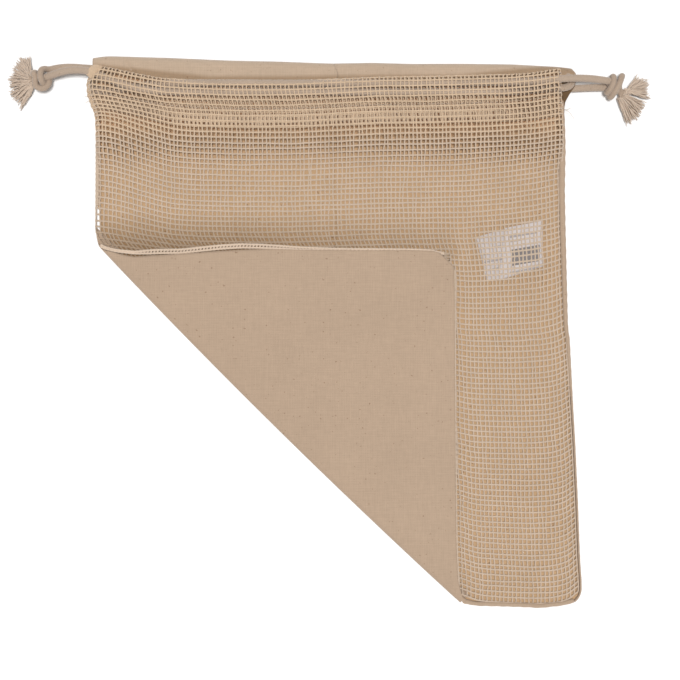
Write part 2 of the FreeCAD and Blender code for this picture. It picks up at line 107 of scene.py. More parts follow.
# ---------------------------------------------------------------- materials
class Cloth:
    """A procedural cotton material: base colour, uneven tone, flecks and a bump."""

    def __init__(self, name, colour, roughness=0.9, sheen=0.25):
        self.material = bpy.data.materials.new(name)
        self.material.use_nodes = True
        self.tree = self.material.node_tree
        self.shader = self.tree.nodes["Principled BSDF"]
        self.shader.inputs["Roughness"].default_value = roughness
        self.shader.inputs["Sheen Weight"].default_value = sheen
        self.shader.inputs["Sheen Roughness"].default_value = 0.5
        self.shader.inputs["Specular IOR Level"].default_value = 0.15
        self.place = self.node("ShaderNodeTexCoord").outputs["Object"]
        rgb = self.node("ShaderNodeRGB")
        rgb.outputs[0].default_value = (*colour, 1)
        self.colour = rgb.outputs[0]
        self.height = None

    def node(self, kind, **values):
        made = self.tree.nodes.new(kind)
        for key, value in values.items():
            setattr(made, key, value)
        return made

    def link(self, a, b):
        self.tree.links.new(a, b)

    def xy(self):
        """The place across and along the bag, in metres."""
        split = self.node("ShaderNodeSeparateXYZ")
        self.link(self.place, split.inputs[0])
        return split.outputs[0], split.outputs[1]

    def noise(self, scale, detail=2.0, stretch=None):
        """Noise over the object, scale in features per metre, stretched along its axes if asked."""
        tex = self.node("ShaderNodeTexNoise")
        tex.inputs["Scale"].default_value = scale
        tex.inputs["Detail"].default_value = detail
        place = self.place
        if stretch:
            mapping = self.node("ShaderNodeMapping")
            mapping.inputs["Scale"].default_value = stretch
            self.link(place, mapping.inputs["Vector"])
            place = mapping.outputs[0]
        self.link(place, tex.inputs["Vector"])
        return tex.outputs["Fac"]

    def band(self, value, low, high, out_low=0.0, out_high=1.0):
        """value from low..high onto out_low..out_high, clamped."""
        ranged = self.node("ShaderNodeMapRange")
        for name, number in zip(("From Min", "From Max", "To Min", "To Max"),
                                (low, high, out_low, out_high)):
            ranged.inputs[name].default_value = number
        self.link(value, ranged.inputs["Value"])
        return ranged.outputs["Result"]

    def tone(self, value, amount):
        """Multiplies the colour by 1 - amount .. 1 + amount, following value from 0 to 1."""
        ranged = self.band(value, 0.3, 0.7, 1 - amount, 1 + amount)
        mix = self.node("ShaderNodeVectorMath", operation="SCALE")
        self.link(self.colour, mix.inputs[0])
        self.link(ranged, mix.inputs["Scale"])
        self.colour = mix.outputs[0]

    def paint(self, mask, colour):
        """Lays another colour over the base where mask is 1."""
        mix = self.node("ShaderNodeMix", data_type="RGBA")
        sockets = [s for s in mix.inputs if s.name in ("A", "B") and s.type == "RGBA"]
        sockets[1].default_value = (*colour, 1)
        self.link(mask, mix.inputs["Factor"])
        self.link(self.colour, sockets[0])
        self.colour = [s for s in mix.outputs if s.type == "RGBA"][0]

    def waves(self, pitch, direction, distortion=0.6):
        """Threads side by side, pitch metres apart, across the x or y direction."""
        tex = self.node("ShaderNodeTexWave", bands_direction=direction)
        tex.inputs["Scale"].default_value = math.pi / 10 / pitch
        tex.inputs["Distortion"].default_value = distortion
        tex.inputs["Detail"].default_value = 2
        tex.inputs["Detail Scale"].default_value = 1.5
        self.link(self.place, tex.inputs["Vector"])
        return tex.outputs["Fac"]

    def maths(self, kind, a, b):
        made = self.node("ShaderNodeMath", operation=kind)
        for socket, value in zip(made.inputs, (a, b)):
            if isinstance(value, (int, float)):
                socket.default_value = value
            else:
                self.link(value, socket)
        return made.outputs[0]

    def add_height(self, value, metres):
        """Adds relief of that height to the bump."""
        scaled = self.maths("MULTIPLY", value, metres * 1000)
        self.height = scaled if self.height is None else self.maths("ADD", self.height, scaled)

    def done(self):
        self.link(self.colour, self.shader.inputs["Base Color"])
        if self.height is not None:
            bump = self.node("ShaderNodeBump")
            bump.inputs["Strength"].default_value = 1
            bump.inputs["Distance"].default_value = 0.001
            self.link(self.height, bump.inputs["Height"])
            self.link(bump.outputs[0], self.shader.inputs["Normal"])
        return self.material


# painted shade: the colour laid where the cloth lies in shade, beside the fold and under the net's
# top edge
PAINTED_SHADE_BROWN = (0.205, 0.118, 0.05)  # cotton in the shade of a fold
# painted warm bounce light on the cotton behind the front casing, lighter than the cotton itself
PAINTED_BOUNCE_LIGHT = (0.76, 0.495, 0.295)  # cotton behind the front casing
# painted warm bounce light on the net's casing
NET_CASING_PAINTED_BOUNCE = (0.565, 0.417, 0.283)
# painted shade inside the casing's open end
CASING_END_PAINTED_SHADE = (0.10, 0.055, 0.022)  # the dark inside of the casing's open end
SEED_FLECK, YARN_FLECK = (0.16, 0.085, 0.04), (0.2, 0.11, 0.05)
BAR_GREY = (0.10, 0.09, 0.085)
LABEL_LEAN = 0.18
# low, high, left, right in mm (low and high along y less LABEL_LEAN x) and how dark
LABEL_BARS = [(22, 32.5, 113, 131, 0.75), (40, 41.4, 111, 129, 0.45), (37.2, 38.2, 112, 127, 0.4),
              (17.5, 18.6, 112, 130, 0.4), (14.8, 15.7, 113, 126, 0.35),
              (36, 36.8, 94, 107, 0.35), (32, 32.8, 94, 106, 0.35), (27, 28, 95, 107, 0.4),
              (22, 22.8, 95, 105, 0.35)]


def shade_by_fold(c, strength):
    """Painted shade: the cloth is painted a little darker and warmer where it lies beside the folded
    corner.
    """
    x, y = c.xy()
    near = c.maths("MULTIPLY", c.band(y, 0.052, 0.078, 1, 0), c.band(y, 0.044, 0.048, 0, 1))
    near = c.maths("MULTIPLY", near, c.band(x, -0.060, 0.075, 1, 0.25))
    near = c.maths("MULTIPLY", near, c.band(x, 0.075, 0.082, 1, 0))
    c.paint(c.maths("MULTIPLY", near, strength), PAINTED_SHADE_BROWN)


def paint_shade_and_bounce_light(c, under_net_painted_shade):
    """Painted light and shade on the back cotton: a painted shadow, painted bounce light and painted
    shade.
    """
    x, y = c.xy()
    # the net's top edge is higher at both sides of the bag, and higher right than left
    above = c.maths("SUBTRACT", y, c.band(c.maths("ABSOLUTE", x, 0), 0.080, 0.150, 0, 0.0075))
    above = c.maths("SUBTRACT", above, c.band(x, -0.03, 0.03, 0, 0.0008))
    # painted shadow on the cotton strip just above the net's top edge
    c.paint(c.maths("MULTIPLY", c.band(above, 0.1616, 0.1640, 1, 0), 0.55), PAINTED_SHADE_BROWN)
    # painted warm bounce light on the cotton behind the front casing, short of the right end
    c.paint(c.maths("MULTIPLY", c.band(above, 0.1565, 0.1580, 1, 0),
                    c.band(x, 0.140, 0.144, 1, 0)), PAINTED_BOUNCE_LIGHT)
    # painted warm shade on the back cotton seen through the net, fading out where the casing begins
    c.paint(c.band(y, 0.124, 0.137, 1, 0), under_net_painted_shade)
    # painted shade beside the folded corner
    shade_by_fold(c, 0.8)
    # painted shade in the casing's open end at the right
    painted_end_shade_mask = c.maths("MULTIPLY", c.band(x, 0.1435, 0.1445, 0, 1), c.band(y, 0.1440, 0.1465, 0, 1))
    c.paint(c.maths("MULTIPLY", painted_end_shade_mask, c.band(y, 0.158, 0.161, 0.85, 0)), CASING_END_PAINTED_SHADE)


def cotton_material(name, colour, under_net_painted_shade=None):
    """Plain weave of uneven unbleached yarn, with slubs and seed flecks; the back cotton also gets
    painted light and shade.
    """
    c = Cloth(name, colour)
    if under_net_painted_shade:
        paint_shade_and_bounce_light(c, under_net_painted_shade)
    c.tone(c.noise(22, 3), 0.025)
    c.tone(c.noise(1300, 2, (1, 0.10, 1)), 0.035)
    c.tone(c.noise(1300, 2, (0.10, 1, 1)), 0.035)
    weave = c.maths("MAXIMUM", c.waves(0.0011, "X"), c.waves(0.0011, "Y"))
    c.tone(weave, 0.04)
    c.add_height(weave, 0.00007)
    c.add_height(c.noise(2600, 2), 0.00008)
    c.paint(c.band(c.noise(520, 1), 0.715, 0.76, 0, 0.55), SEED_FLECK)
    return c.done()


def yarn_material(name, colour, flecks=0.0, net=False):
    """Spun cotton: fine fibres and a slightly uneven tone. The net gets painted shade beside the
    folded corner and painted warm bounce light on its casing.
    """
    c = Cloth(name, colour, sheen=0.35)
    if net:
        # painted shade on the net beside the folded corner
        shade_by_fold(c, 0.6)
        # painted warm bounce light on the net from the casing up
        c.paint(c.band(c.xy()[1], 0.120, 0.130, 0, 1), NET_CASING_PAINTED_BOUNCE)
    c.tone(c.noise(60, 2), 0.04)
    c.tone(c.noise(1500, 2), 0.07)
    c.add_height(c.noise(2400, 3), 0.00012)
    if flecks:
        c.paint(c.band(c.noise(500, 1), 0.73, 0.77, 0, flecks), YARN_FLECK)
    return c.done()


def label_material():
    """White woven tape with plain grey bars in place of any print."""
    c = Cloth("label_tape", (0.56, 0.51, 0.50), sheen=0.1)
    c.tone(c.noise(700, 2, (1, 0.15, 1)), 0.05)
    weave = c.maths("MAXIMUM", c.waves(0.0007, "X"), c.waves(0.0007, "Y"))
    c.add_height(weave, 0.00005)
    x, y = c.xy()
    leaning = c.maths("ADD", y, c.maths("MULTIPLY", x, -LABEL_LEAN))
    for low, high, left, right, strength in LABEL_BARS:
        mask = strength
        for kind, value, bound in (("GREATER_THAN", leaning, low), ("LESS_THAN", leaning, high),
                                   ("GREATER_THAN", x, left), ("LESS_THAN", x, right)):
            mask = c.maths("MULTIPLY", c.maths(kind, value, bound * MM), mask)
        c.paint(mask, BAR_GREY)
    return c.done()


COTTON = cotton_material("unbleached_cotton", (0.402, 0.294, 0.21))
# the last colour is painted warm shade for the cotton seen through the net
BACK_COTTON = cotton_material("back_cotton", (0.455, 0.345, 0.252), (0.475, 0.315, 0.182))
NET = yarn_material("net_yarn", (0.53, 0.413, 0.312), 0.3, net=True)
PIPING_COTTON = yarn_material("piping_cotton", (0.60, 0.47, 0.36))
CORD = yarn_material("drawstring_cotton", (0.40, 0.308, 0.235), 0.3)
KNOT = yarn_material("knotted_cotton", (0.385, 0.292, 0.22), 0.3)
FRAY = yarn_material("frayed_yarn", (0.55, 0.435, 0.34))
THREAD = yarn_material("sewing_thread", (0.47, 0.365, 0.27))
LABEL = label_material()


# ---------------------------------------------------------------- mesh helpers
def mesh_object(name, verts_mm, faces, material):
    """A mesh object from points in mm and a list of arrays of equal-sided faces."""
    data = bpy.data.meshes.new(name)
    verts = np.asarray(verts_mm, np.float32) * MM
    data.vertices.add(len(verts))
    data.vertices.foreach_set("co", verts.ravel())
    groups = [np.asarray(f, np.int32) for f in faces if len(f)]
    loops = np.concatenate([g.ravel() for g in groups])
    totals = np.concatenate([np.full(len(g), g.shape[1], np.int32) for g in groups])
    starts = np.concatenate([[0], np.cumsum(totals)[:-1]]).astype(np.int32)
    data.loops.add(len(loops))
    data.loops.foreach_set("vertex_index", loops)
    data.polygons.add(len(totals))
    data.polygons.foreach_set("loop_start", starts)
    data.polygons.foreach_set("loop_total", totals)
    data.polygons.foreach_set("use_smooth", np.ones(len(totals), bool))
    data.update(calc_edges=True)
    data.validate()
    data.materials.append(material)
    obj = bpy.data.objects.new(name, data)
    bpy.context.collection.objects.link(obj)
    return obj


def unit(v):
    """Vectors made one long."""
    return v / np.maximum(np.linalg.norm(v, axis=-1, keepdims=True), 1e-9)


class Pile:
    """Gathers parts of one mesh object."""

    def __init__(self):
        self.verts, self.faces, self.count = [], {}, 0

    def add(self, verts, *faces):
        for group in faces:
            if len(group):
                group = np.asarray(group, np.int64) + self.count
                self.faces.setdefault(group.shape[1], []).append(group)
        self.verts.append(np.asarray(verts, float).reshape(-1, 3))
        self.count += len(self.verts[-1])

    def build(self, name, material):
        faces = [np.concatenate(groups) for groups in self.faces.values()]
        return mesh_object(name, np.concatenate(self.verts), faces, material)


def rings_mesh(pile, rings, keep=None):
    """Closed capped tubes from rings (tubes, steps, sides, 3). keep says which steps' spans stay."""
    tubes, steps, sides, _ = rings.shape
    spans = np.ones((tubes, steps - 1), bool) if keep is None else keep
    index = np.arange(tubes * steps * sides).reshape(tubes, steps, sides)
    a, b = index[:, :-1], index[:, 1:]
    quads = np.stack([a, np.roll(a, -1, 2), np.roll(b, -1, 2), b], -1)[spans].reshape(-1, 4)
    before = np.pad(spans, ((0, 0), (1, 0)))
    after = np.pad(spans, ((0, 0), (0, 1)))
    first, last = after & ~before, before & ~after
    used = np.zeros(tubes * steps * sides, bool)
    used[quads.ravel()] = True
    new = np.cumsum(used) - 1
    caps = np.concatenate([index[first][:, ::-1], index[last]])
    pile.add(rings.reshape(-1, 3)[used], new[quads], new[caps])


def ring_sides(points, side, radius, sides, twist=None, lobes=0.0, flat=1.0):
    """Rings round points (..., 3). side is a sideways direction; lobes makes a two-ply shape."""
    along = unit(np.gradient(points, axis=-2))
    side = unit(side - along * np.sum(side * along, -1, keepdims=True))
    up = np.cross(along, side)
    angle = np.arange(sides) * 2 * math.pi / sides
    turn = np.zeros(points.shape[:-1]) if twist is None else twist
    r = radius * (1 + lobes * np.cos(2 * (angle - turn[..., None])))
    return (points[..., None, :] + side[..., None, :] * (r * np.cos(angle))[..., None]
            + up[..., None, :] * (r * flat * np.sin(angle))[..., None])


def carried_side(points):
    """A sideways direction carried along a path without twisting."""
    along = unit(np.gradient(points, axis=0))
    side = np.cross(along[0], (0, 0, 1.0))
    if np.linalg.norm(side) < 1e-3:
        side = np.array((1.0, 0, 0))
    sides = []
    for t in along:
        side = side - t * np.dot(side, t)
        side = side / np.linalg.norm(side)
        sides.append(side)
    return np.array(sides)


def nurbs_points(name, route, resolution):
    """Points of the smooth curve that a route's points control, in mm, read back from Blender."""
    data = bpy.data.curves.new(name, "CURVE")
    data.dimensions, data.resolution_u = "3D", resolution
    spline = data.splines.new("NURBS")
    spline.points.add(len(route) - 1)
    for point, place in zip(spline.points, route):
        point.co = (*(c * MM for c in place), 1)
    spline.order_u = 3
    spline.use_endpoint_u = True
    obj = bpy.data.objects.new(name, data)
    bpy.context.collection.objects.link(obj)
    graph = bpy.context.evaluated_depsgraph_get()
    mesh = bpy.data.meshes.new_from_object(obj.evaluated_get(graph))
    found = np.array([v.co for v in mesh.vertices]) / MM
    bpy.data.objects.remove(obj)
    bpy.data.meshes.remove(mesh)
    gaps = np.linalg.norm(np.diff(found, axis=0), axis=1)
    return found[np.concatenate([[True], gaps > 0.02])]


def lengths(points):
    """Distance along a path up to each of its points."""
    return np.concatenate([[0], np.cumsum(np.linalg.norm(np.diff(points, axis=0), axis=1))])


def braid(pile, points, radius, sides=24, ribs=5, pitch=9.0, relief=0.16):
    """A braided cord along points: two crossing families of strands stand out of its surface."""
    side = carried_side(points)
    along = unit(np.gradient(points, axis=0))
    up = np.cross(along, side)
    s = lengths(points)[:, None]
    angle = (np.arange(sides) * 2 * math.pi / sides)[None]
    one = np.cos(ribs * angle + s * 2 * math.pi / pitch * ribs)
    two = np.cos(ribs * angle - s * 2 * math.pi / pitch * ribs)
    r = radius * (1 - relief * 0.5 + relief * 0.5 * np.maximum(one, two))
    rings = (points[:, None] + side[:, None] * (r * np.cos(angle))[..., None]
             + up[:, None] * (r * np.sin(angle))[..., None])
    rings_mesh(pile, rings[None])


# ---------------------------------------------------------------- drawstrings
CORD_WIDE = 4.5
LEFT_ROUTE = [
    (-184, 161.2, 8.2), (-178, 163.3, 9.8), (-167, 165.8, 13), (-154, 165, 14.4),
    (-136, 157, 14.4), (-118, 151.8, 14.4), (-82, 151.3, 14.4), (-28, 151.7, 14.4),
    (30, 151.3, 14.4), (76, 151.6, 14.4), (104, 151.7, 14.4), (117, 152.3, 10.2),
    (127, 153.4, 9.6), (138, 154.6, 9.6), (148.3, 154.8, 9.6), (151.6, 159.8, 6.5),
    (148.3, 164.4, 3.1), (139, 164.8, 3.1), (122, 165.9, 3.1), (85, 165.8, 3.1), (27, 166.5, 3.1),
    (-33, 165.8, 3.1), (-92, 166.4, 3.1), (-134, 167, 3.1), (-156, 168.2, 3.1),
    (-168, 169.2, 3.2), (-178, 168.2, 4), (-183, 166.4, 4.4)]
RIGHT_ROUTE = [
    (176, 158.8, 9), (170, 159.6, 10.6), (160, 160.3, 13.4), (146, 160.2, 14.4),
    (124, 157.9, 14.4), (84, 157.1, 14.4), (30, 157, 14.4), (-28, 156.9, 14.4),
    (-76, 157.1, 14.4), (-102, 157, 14.4), (-114, 157, 10.2), (-124, 156.2, 9.5),
    (-134, 153.8, 9.5), (-143, 153.3, 9.5), (-151.9, 153.3, 9.5), (-154.9, 157.3, 6.3),
    (-151.9, 161.3, 3.1), (-141, 160.8, 3.1), (-122, 157.2, 3.1), (-84, 156.1, 3.1),
    (-28, 156.8, 3.1), (30, 156, 3.1), (88, 156.5, 3.1), (128, 155.6, 3.1), (148, 155.2, 3.1),
    (160, 155.8, 3.1), (169, 156, 3.8), (175, 155.9, 4.6)]


def drawstring(side, route):
    points = nurbs_points(f"{side}_route", route, 48)
    pile = Pile()
    braid(pile, points, CORD_WIDE / 2 * 1.04)
    obj = pile.build(f"{side}_drawstring_braid", CORD)
    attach(obj, f"{side}_drawstring")
    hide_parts(f"{side}_drawstring")
    return obj, points


# knot strands, in mm from the knot's middle: x away from the bag on the right side, z up
RIGHT_KNOT = [
    [(-6.6, 2.8, 3.8), (-4.4, 2.3, 2.8), (-3.0, -0.6, -1.4), (-4.8, -3.6, -1.6), (-5.2, -4.8, 1.0),
     (-3.4, -2.6, 3.9), (-1.6, 1.0, 4.8), (-1.2, 4.9, 3.8), (-1.4, 6.0, 0), (-1.0, 3.5, -3.4),
     (0.5, -1, -4), (3.2, -3.6, -2.4), (7.4, -4.6, -0.8)],
    [(-6.6, -0.6, -2.2), (-4, -1.4, -3.2), (-2.2, -4.6, -3.6), (-3.0, -7.0, -1.8),
     (-2.2, -6.8, 1.2), (0.2, -3.2, 3.8), (2.4, 1.2, 4.4), (4.0, 5.6, 3.0), (4.7, 6.4, -0.4),
     (3.6, 3.0, -3.4), (3.0, -1.5, -3.2), (4.5, -5.0, -2.2), (5.6, -7.2, -1.6)]]
LEFT_KNOT = [
    [(7, 2.8, 3.2), (4.6, 1.8, 2.2), (1.6, 2.4, -1.6), (-2.6, 4.2, -2.8), (-5.0, 4.8, 0),
     (-4.6, 3.6, 3.0), (-3.4, 1.6, 2.0), (-4.0, -2.4, 1.6), (-2.2, -5.4, 2.2), (2.0, -5.8, 2.6),
     (4.9, -3.2, 2.0), (4.9, 1.2, 0.4), (1.4, 3.4, -2.6), (-3.0, 0.4, -2.8), (-8.2, -2.0, -1.4)],
    [(6.8, 7.4, -2.3), (4.4, 6.8, -1.6), (2.2, 7.0, 0.6), (0.2, 6.0, 3.6), (-0.2, 2.0, 4.9),
     (0.9, -1.6, 4.4), (2.3, -3.6, 1.2), (1.4, -3.6, -3.2), (-3.0, -1.6, -3.0),
     (-8.4, 1.6, -0.6)]]


def knot(side, centre, strands, radius):
    pile = Pile()
    for i, strand in enumerate(strands):
        route = [tuple(c + o for c, o in zip(centre, p)) for p in strand]
        braid(pile, nurbs_points(f"{side}_knot_route_{i}", route, 12), radius, sides=20, pitch=8)
    obj = pile.build(f"{side}_knot_braid", KNOT)
    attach(obj, f"{side}_drawstring")
    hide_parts(f"{side}_knot")
    return obj


YARN_STEPS = 22


def tassel(name, nodes, body, base, spread, tips, yarns, low=0.6, high=7.6, neck=0.25):
    """Frayed yarns that leave the knot at base and fan out to the line of tips.

    low and high bound the tips' height; a larger neck keeps the yarns together for longer.
    """
    pile = Pile()
    tips = np.array(tips, float)
    reach = lengths(tips)
    base = np.array(base, float)
    for i in range(yarns):
        f = (i + rng.uniform(0, 1)) / yarns
        tip = np.array([np.interp(f * reach[-1], reach, tips[:, k]) for k in (0, 1)])
        start = base[:2] + np.array(spread) * (f - 0.5) * 2 + rng.normal(0, 0.5, 2)
        tip = start + (tip - start) * rng.uniform(0.78, 1.02)
        z0 = base[2] + rng.uniform(-1.9, 1.9)
        z1 = rng.uniform(low, high) * rng.uniform(0.35, 1)
        t = np.linspace(0, 1, YARN_STEPS)
        ease = t ** (1 + neck)
        path = np.empty((YARN_STEPS, 3))
        path[:, :2] = start + (tip - start) * ease[:, None]
        path[:, 2] = z0 + (max(z1, low) - z0) * t ** 1.2
        across = np.array((-(tip - start)[1], (tip - start)[0]))
        across = across / np.linalg.norm(across)
        length = np.linalg.norm(tip - start)
        wave = (rng.normal(0, 0.05) * length * np.sin(math.pi * t)
                + rng.uniform(0.08, 0.28) * np.sin(t * length * rng.uniform(0.9, 1.7)
                                                  + rng.uniform(0, 6)) * t)
        path[:, :2] += across * wave[:, None]
        path[:, 2] += 0.25 * np.sin(t * length * rng.uniform(0.8, 1.4) + rng.uniform(0, 6)) * t
        path[:, 2] = np.maximum(path[:, 2], 0.45)
        size = rng.uniform(0.26, 0.40) * np.interp(t, [0, 0.85, 1], [1.05, 1, 0.45])
        s = lengths(path)
        side = np.broadcast_to(np.array((*across, 0.0)), path.shape)
        rings = ring_sides(path, side, size[:, None], 6, twist=s * 2.6, lobes=0.25)
        rings_mesh(pile, rings[None])
    obj = pile.build(name, FRAY)
    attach(obj, body)
    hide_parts(*nodes)
    return obj


left_cord, left_points = drawstring("left", LEFT_ROUTE)
right_cord, right_points = drawstring("right", RIGHT_ROUTE)
left_knot = knot("left", (-185.8, 160.3, 6.4), LEFT_KNOT, 2.05)
right_knot = knot("right", (178.1, 156.6, 6.4), RIGHT_KNOT, 2.05)
left_tassel = tassel(
    "left_tassel_yarns", ["left_tassel"], "left_drawstring", (-192.5, 160.3, 5.2), (0.6, -4.6),
    [(-193.6, 176.6), (-196, 175.4), (-201, 176), (-204.5, 171.5), (-206.8, 165), (-208.6, 160.6),
     (-206.8, 155), (-207.4, 150.6), (-203.4, 147), (-200, 141.6), (-197.6, 147)], 150)
right_upper = tassel(
    "right_tassel_upper_yarns", ["right_tassel_upper"], "right_drawstring", (184.6, 152.6, 5.4),
    (0.2, 2.2), [(192.9, 164.4), (195.4, 162), (199.8, 161.8), (201.2, 158.4), (200, 153.6),
                 (201.6, 147.6)], 95, neck=0.8)
right_lower = tassel(
    "right_tassel_lower_yarns", ["right_tassel_lower"], "right_drawstring", (182.6, 150.2, 4.4),
    (1.6, 1.6), [(186.6, 131.4), (189, 133), (193, 134.6), (196.4, 140.6), (198.8, 146)], 85,
    neck=0.3)


# ---------------------------------------------------------------- outline of the cloth, in mm
CREASE_START, CREASE_END = np.array((-147.2, 56.1)), np.array((80.5, -168.4))
CREASE_ALONG = (CREASE_END - CREASE_START) / np.linalg.norm(CREASE_END - CREASE_START)
CREASE_OUT = np.array((CREASE_ALONG[1], -CREASE_ALONG[0]))
CREASE_LONG = np.linalg.norm(CREASE_END - CREASE_START)
HINGE_HIGH = 2.95

LEFT_EDGE = [(-170, -140), (-141, -140.2), (-56, -141.6), (7, -139.4), (36, -138.2),
             (50, -142), (57, -148.6), (63, -152.2), (84, -152.1), (128, -151.9),
             (139, -152.3), (146, -155.2), (152, -157.2), (157, -157.6), (162, -156.6), (170, -154)]
RIGHT_EDGE = [(-178, 147), (-173.4, 151.4), (-170.6, 155.4), (-167, 157.6), (-161, 157.9),
              (-143, 156.7), (-105, 155.3), (-70, 153.7), (-46, 152.3), (-4, 150.2), (3, 149.1),
              (65, 147.6), (90, 147.1), (118, 147.6), (130, 147.2), (145, 146.4), (170, 145)]
BOTTOM_EDGE = [(-152, -166.4), (76, -166), (82, -167.4), (87, -169.9), (93, -171.3), (106, -172.2),
               (125, -173.2), (138, -172.8), (146, -171), (151, -168), (155, -163)]
COTTON_BOTTOM = [(74, -165), (79, -169.4), (83, -172.4), (87, -173.9), (92, -174.5),
                 (105, -174.8), (124, -175.4), (131, -175.9), (145, -174.4), (153, -172.4),
                 (160, -169)]
TOP_EDGE = [(-158, 168.2), (-152.8, 168.6), (-147, 168.2), (-138.8, 167.2), (-122, 163.7),
            (-104.5, 160.4), (-87.3, 159), (-56.2, 158.2), (-25, 158.3), (3.6, 159.5),
            (31, 160.7), (66, 161.2), (90, 161.8), (111.7, 162.6), (129.6, 164.1), (148, 167)]
COTTON_TOP = [(-156, 173.4), (-154, 174.5), (-143, 176), (-104.5, 174.9), (-65.7, 173.2),
              (-35.8, 172.6), (-2, 171.3), (24, 171.8), (48, 171.1), (80, 171.2), (111.7, 170.8),
              (139.7, 169.2), (148.6, 168), (155, 165)]
FLAP_TOP = [(-150.2, 55.4), (-149, 54.3), (-143, 51.6), (-136.3, 49.6), (-127.4, 48.2),
            (-98, 50), (-76, 51.6), (-54, 52.8), (-34.5, 53.2), (-11.6, 52.8), (11.9, 52.6),
            (50, 52.6), (61.8, 52.2), (68, 50.6), (72.6, 47.6), (75.6, 44)]
FLAP_RIGHT = [(76.4, 40.6), (76.8, 27), (76.9, -20), (77.6, -112), (78, -135), (79, -158),
              (80.6, -166), (82, -169.6), (81.4, -172)]
PIPING = [(-149, 56.2), (-146.5, 54.3), (-139.5, 52.4), (-126.8, 51.1), (-113.4, 51.8),
          (-98.1, 52), (-85.4, 53.3), (-72.7, 54.6), (-60, 55.4), (-47.3, 55.2), (-34.5, 54.5),
          (-21.8, 53.7), (0, 53), (50, 52.7), (61, 52.2), (68, 50.6)]


def across_mm(u):
    """Roughly where a fraction u of the bag's width lies, in mm."""
    return -152 + 299 * u


def along_table(table, value, spread=3.0):
    """A table of (place, value) read smoothly."""
    places, values = zip(*sorted(table))
    return sum(np.interp(value + spread * k, places, values) for k in (-1, -0.5, 0, 0.5, 1)) / 5


def smooth(value, low, high):
    """0 up to low, 1 from high on, and an even curve between."""
    t = np.clip((value - low) / (high - low), 0, 1)
    return t * t * (3 - 2 * t)


def crease_place(x, y):
    """(along, beyond): how far a point is along the crease, and how far beyond it, in mm."""
    from_start = np.stack([x - CREASE_START[0], y - CREASE_START[1]], -1)
    return from_start @ CREASE_ALONG, from_start @ CREASE_OUT


def bow(along):
    """The folded edge bows out a little between its ends."""
    return 3.0 * np.clip(np.sin(math.pi * np.clip(along / CREASE_LONG, 0, 1)), 0, 1) ** 0.8


def waviness(x, y, seed):
    """Gentle unevenness of a lying cloth, about -1 to 1."""
    r = np.random.default_rng(seed)
    total = np.zeros(np.broadcast(x, y).shape)
    for _ in range(7):
        kx, ky, phase = r.normal(0, 0.045), r.normal(0, 0.045), r.uniform(0, 6.3)
        total = total + np.sin(kx * x + ky * y + phase)
    return total / 4


# ---------------------------------------------------------------- cotton
COTTON_THICK = 0.55
COTTON_COLUMNS, FLAT_ROWS = 300, 150
BACK_SECTION = [  # from the top edge: dy and height of the cotton's middle, top edge inwards
    (0, 1.9), (-1.0, 3.6), (-3.0, 5.3), (-6, 5.75), (-13, 5.8), (-18, 5.3), (-22, 3.2),
    (-25.5, 1.1), (-30.5, 0.95), (-31, 0.95)]


def shell(name, grid, thick, material, keep=slice(None)):
    """A closed cloth of even thickness round a grid (rows, columns, 3), with the columns keep."""
    du, dv = np.gradient(grid, axis=1), np.gradient(grid, axis=0)
    normal = unit(np.cross(du, dv))[:, keep]
    grid = grid[:, keep]
    top, low = grid + normal * thick / 2, grid - normal * thick / 2
    rows, cols, _ = grid.shape
    index = np.arange(rows * cols).reshape(rows, cols)
    quads = np.stack([index[:-1, :-1], index[:-1, 1:], index[1:, 1:], index[1:, :-1]], -1)
    quads = quads.reshape(-1, 4)
    rim = np.concatenate([index[0, :-1], index[:-1, -1], index[-1, :0:-1], index[:0:-1, 0]])
    after = np.roll(rim, -1)
    under = rows * cols
    pile = Pile()
    pile.add(np.concatenate([top.reshape(-1, 3), low.reshape(-1, 3)]), quads,
             quads[:, ::-1] + under, np.stack([rim, rim + under, after + under, after], -1))
    obj = pile.build(name, material)
    for side in obj.data.polygons[-len(rim):]:
        side.use_smooth = False
    return obj


def crease_line_y(x):
    """Height in plan of the crease over x."""
    slope = CREASE_ALONG[1] / CREASE_ALONG[0]
    return CREASE_START[1] + (x - CREASE_START[0]) * slope


def cotton_right(y):
    """Right edge of the back cotton: the casing's open end flares out at the mouth."""
    return np.interp(y, [-178, 140, 147, 151, 157, 164, 168, 172, 178],
                     [0, 0, 0.8, 3.2, 7.4, 8.4, 6, 3, 2]) + along_table(RIGHT_EDGE, y)


def cotton_left(y):
    """Left edge of the back cotton, which leaves the net's edge bare below the seam."""
    return np.interp(y, [58, 64, 76, 82, 138, 160, 176],
                     [-149.6, -149.2, -149.4, -151.9, -151.9, -152.9, -154])


